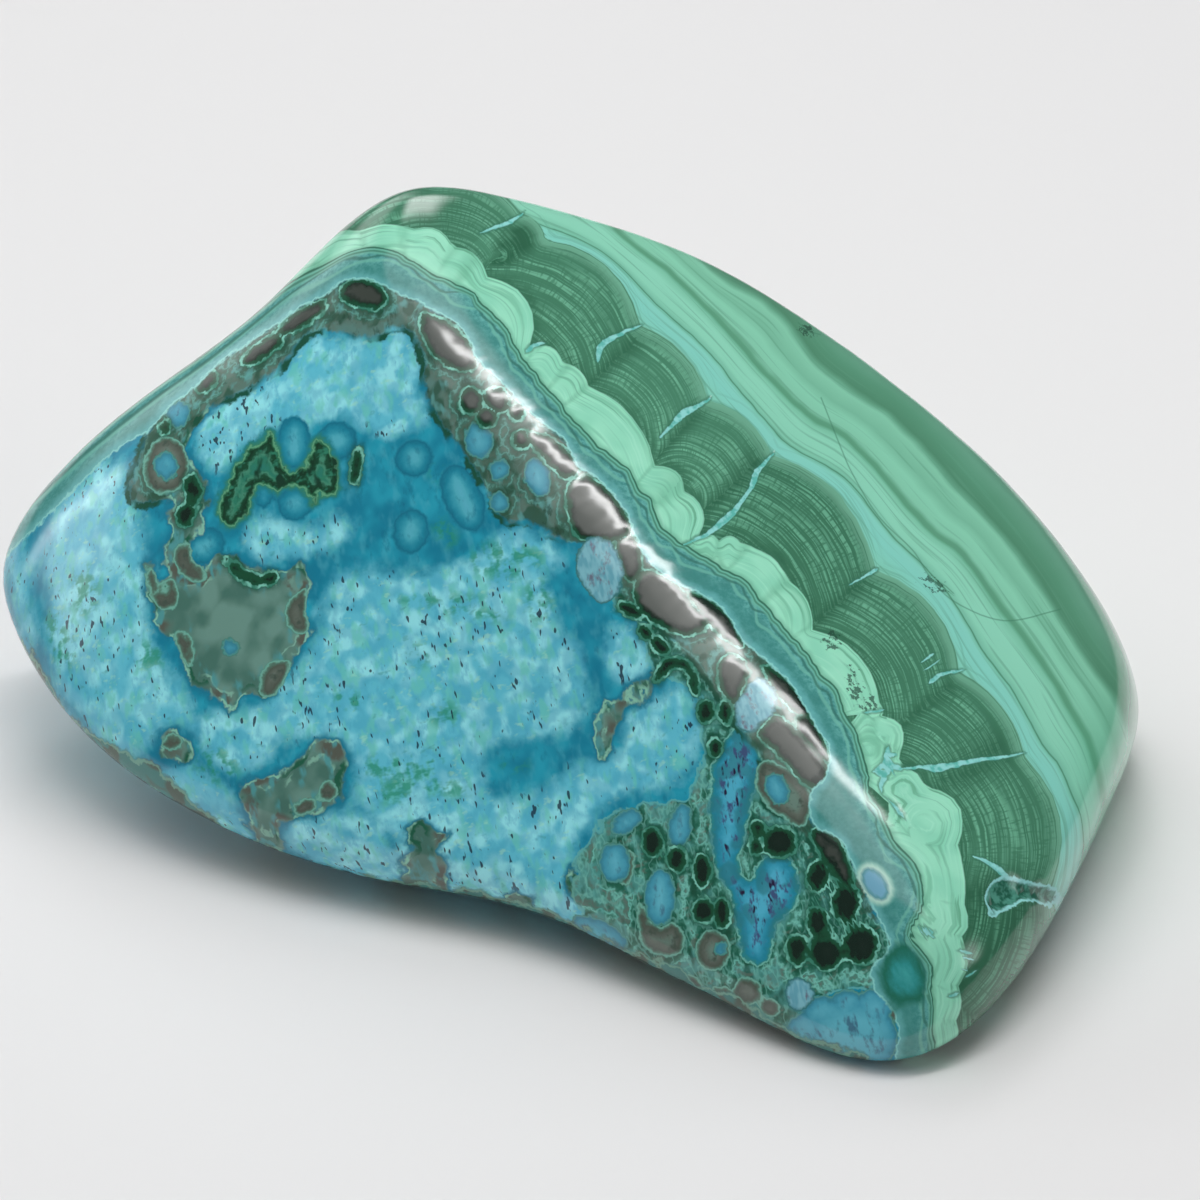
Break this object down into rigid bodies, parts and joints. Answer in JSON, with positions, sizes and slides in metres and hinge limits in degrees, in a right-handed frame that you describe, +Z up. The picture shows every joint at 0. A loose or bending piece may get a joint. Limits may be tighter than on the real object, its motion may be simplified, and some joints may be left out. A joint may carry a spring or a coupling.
{
  "type": "chrysocolla specimen",
  "caption": "Hand-polished freeform of blue-green chrysocolla and banded malachite, one solid stone on a flat cut base.",
  "frame": {"origin": "middle of the bounding box, on the surface the stone stands on", "axes": "+X along the stone's length towards its low right end, +Y away from the blue front face, +Z up from the cut base"},
  "size_m": [0.0999, 0.0646, 0.0486],
  "materials": {
    "polished_stone": "high polish; turquoise-blue chrysocolla on the front, green banded malachite on the upper face"
  },
  "bodies": {
    "root": {"polished_stone": "polished_stone"}
  },
  "joints": []
}
